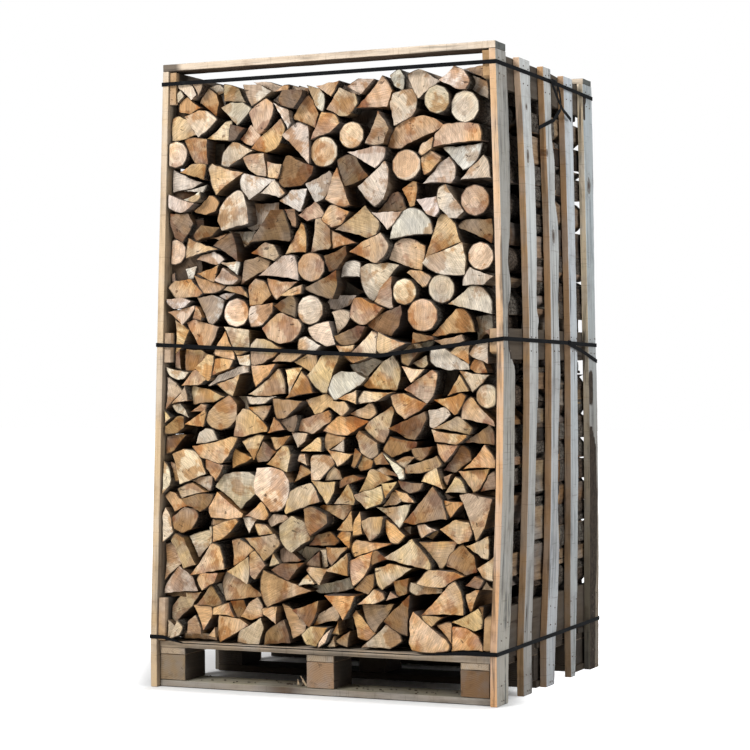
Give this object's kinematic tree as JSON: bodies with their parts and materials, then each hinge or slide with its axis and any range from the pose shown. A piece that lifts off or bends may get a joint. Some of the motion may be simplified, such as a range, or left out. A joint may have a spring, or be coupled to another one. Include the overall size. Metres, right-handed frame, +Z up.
{
  "type": "crate of firewood",
  "caption": "Tall slatted wooden crate on a pallet, packed with split logs laid ends to the open front, battens across the top and thin straps around it.",
  "frame": {"origin": "middle of the underside of the crate on the ground plane", "axes": "+Z up, -Y towards the open front with the log ends, +X towards the bowed side panel"},
  "size_m": [1.2772, 1.026, 2.084],
  "materials": {
    "pallet_wood": "weathered rough sawn",
    "slat_wood": "weathered rough sawn with live edges",
    "batten_wood": "rough sawn",
    "firewood": "sawn ends, split faces and bark",
    "strap": "satin band"
  },
  "bodies": {
    "root": {"bottom_board_front": "pallet_wood", "block_front_left": "pallet_wood", "block_front_middle": "pallet_wood", "block_front_right": "pallet_wood", "bottom_board_middle": "pallet_wood", "block_middle_left": "pallet_wood", "block_middle_middle": "pallet_wood", "block_middle_right": "pallet_wood", "bottom_board_back": "pallet_wood", "block_back_left": "pallet_wood", "block_back_middle": "pallet_wood", "block_back_right": "pallet_wood", "stringer_left": "pallet_wood", "stringer_middle": "pallet_wood", "stringer_right": "pallet_wood", "deck_board_1": "pallet_wood", "deck_board_2": "pallet_wood", "deck_board_3": "pallet_wood", "deck_board_4": "pallet_wood", "deck_board_5": "pallet_wood", "deck_board_6": "pallet_wood", "deck_board_7": "pallet_wood", "slat_right_1": "slat_wood", "slat_right_2": "slat_wood", "slat_right_3": "slat_wood", "slat_right_4": "slat_wood", "slat_right_5": "slat_wood", "rail_right_bottom": "slat_wood", "rail_right_middle": "slat_wood", "rail_right_top": "slat_wood", "slat_left_1": "slat_wood", "slat_left_2": "slat_wood", "slat_left_3": "slat_wood", "slat_left_4": "slat_wood", "slat_left_5": "slat_wood", "rail_left_bottom": "slat_wood", "rail_left_middle": "slat_wood", "rail_left_top": "slat_wood", "top_batten_front": "batten_wood", "top_batten_back": "batten_wood", "strap_top": "strap", "strap_middle": "strap", "strap_bottom": "strap", "firewood_stack": "firewood", "round_log_1": "firewood", "round_log_2": "firewood", "round_log_3": "firewood", "round_log_4": "firewood", "round_log_5": "firewood", "round_log_6": "firewood", "round_log_7": "firewood", "round_log_8": "firewood", "round_log_9": "firewood", "round_log_10": "firewood", "round_log_11": "firewood", "round_log_12": "firewood", "round_log_13": "firewood", "round_log_14": "firewood"}
  },
  "joints": []
}
